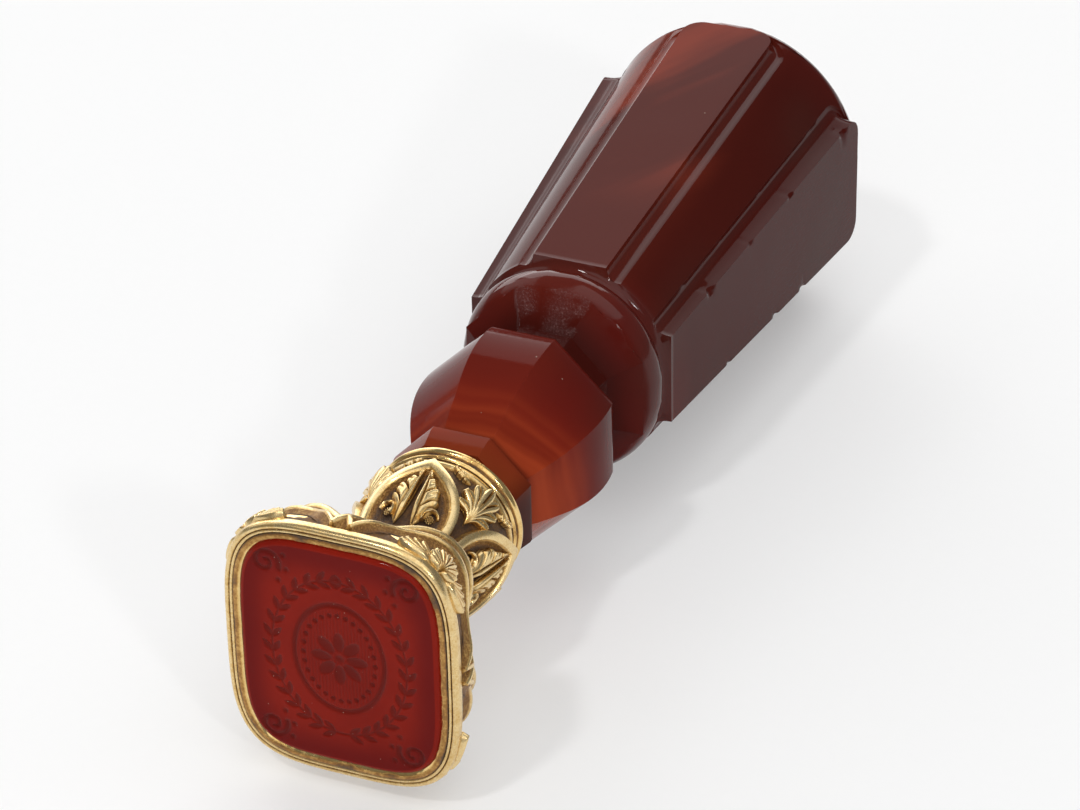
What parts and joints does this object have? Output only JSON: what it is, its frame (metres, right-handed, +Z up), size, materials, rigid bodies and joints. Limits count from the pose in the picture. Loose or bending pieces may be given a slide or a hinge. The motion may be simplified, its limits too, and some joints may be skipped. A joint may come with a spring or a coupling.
{
  "type": "desk seal stamp",
  "caption": "Oblong engraved stone in a chased gold mount, held by a long faceted hardstone handle with a panelled, tapering grip and a domed end.",
  "frame": {"origin": "on the table, under the middle of the seal as it lies on its side", "axes": "+Y along the seal from the engraved face to the domed end, +Z up, +X to the right seen from the engraved face"},
  "size_m": [0.0254, 0.0956, 0.027],
  "materials": {
    "carnelian": "polished deep red stone, slightly clear at its edges",
    "chased_gold": "pale chased gold with dark brown recesses",
    "polished_gold": "polished yellow gold",
    "pitch": "dark setting pitch",
    "banded_agate": "polished red-brown stone with orange and smoky bands"
  },
  "bodies": {
    "root": {"matrix_stone": "carnelian", "bezel": "polished_gold", "back_plate": "polished_gold", "foot_shell": "chased_gold", "cup_shell": "chased_gold", "collar_ring": "polished_gold", "cap_plate": "polished_gold", "fixing_pin": "polished_gold", "pitch_core": "pitch", "handle": "banded_agate"}
  },
  "joints": []
}
